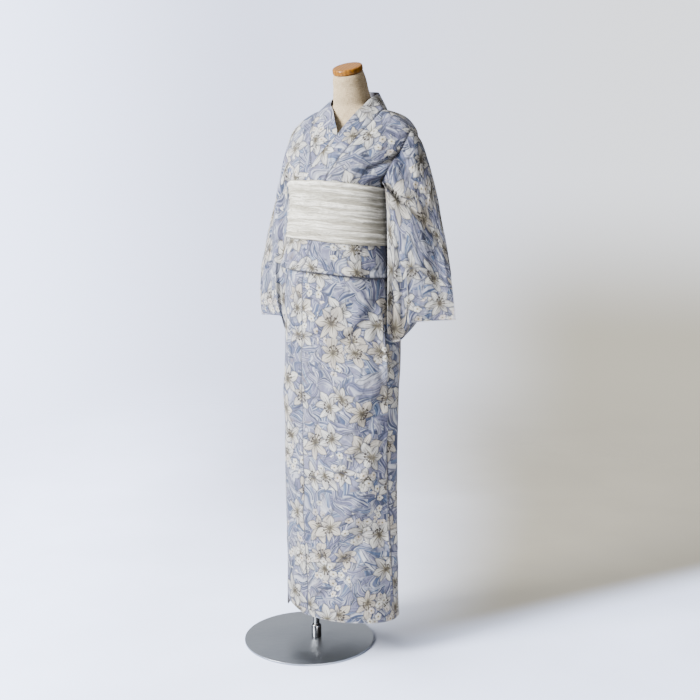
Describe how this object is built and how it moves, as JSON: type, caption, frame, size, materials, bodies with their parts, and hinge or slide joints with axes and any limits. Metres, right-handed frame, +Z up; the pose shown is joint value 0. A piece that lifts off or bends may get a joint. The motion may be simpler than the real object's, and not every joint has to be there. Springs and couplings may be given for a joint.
{
  "type": "yukata robe on a dress form",
  "caption": "Straight-cut cotton yukata robe, wrapped left over right with a soft gathered sash, worn by a limbless linen dress form on a round steel stand",
  "frame": {"origin": "centre of the underside of the round base plate, on the floor", "axes": "+Z up; the wearer's front faces -Y; the wearer's left side is toward +X"},
  "size_m": [0.6088, 0.3766, 1.5318],
  "materials": {
    "printed_cotton": "plain-woven cotton, printed with lilies on a pale lavender ground",
    "sash_cotton": "soft crinkled off-white cotton",
    "linen": "natural linen cover, matt",
    "turned_wood": "stained and varnished orange-brown wood",
    "polished_steel": "polished steel tube and socket",
    "brushed_steel": "brushed grey-blue steel plate"
  },
  "bodies": {
    "root": {"body_left": "printed_cotton", "body_right": "printed_cotton", "okumi_left": "printed_cotton", "okumi_right": "printed_cotton", "sleeve_left": "printed_cotton", "sleeve_right": "printed_cotton", "collar": "printed_cotton", "obi": "sash_cotton", "dress_form": "linen", "neck_cap": "turned_wood", "pole": "polished_steel", "pole_socket": "polished_steel", "base_plate": "brushed_steel"}
  },
  "joints": []
}
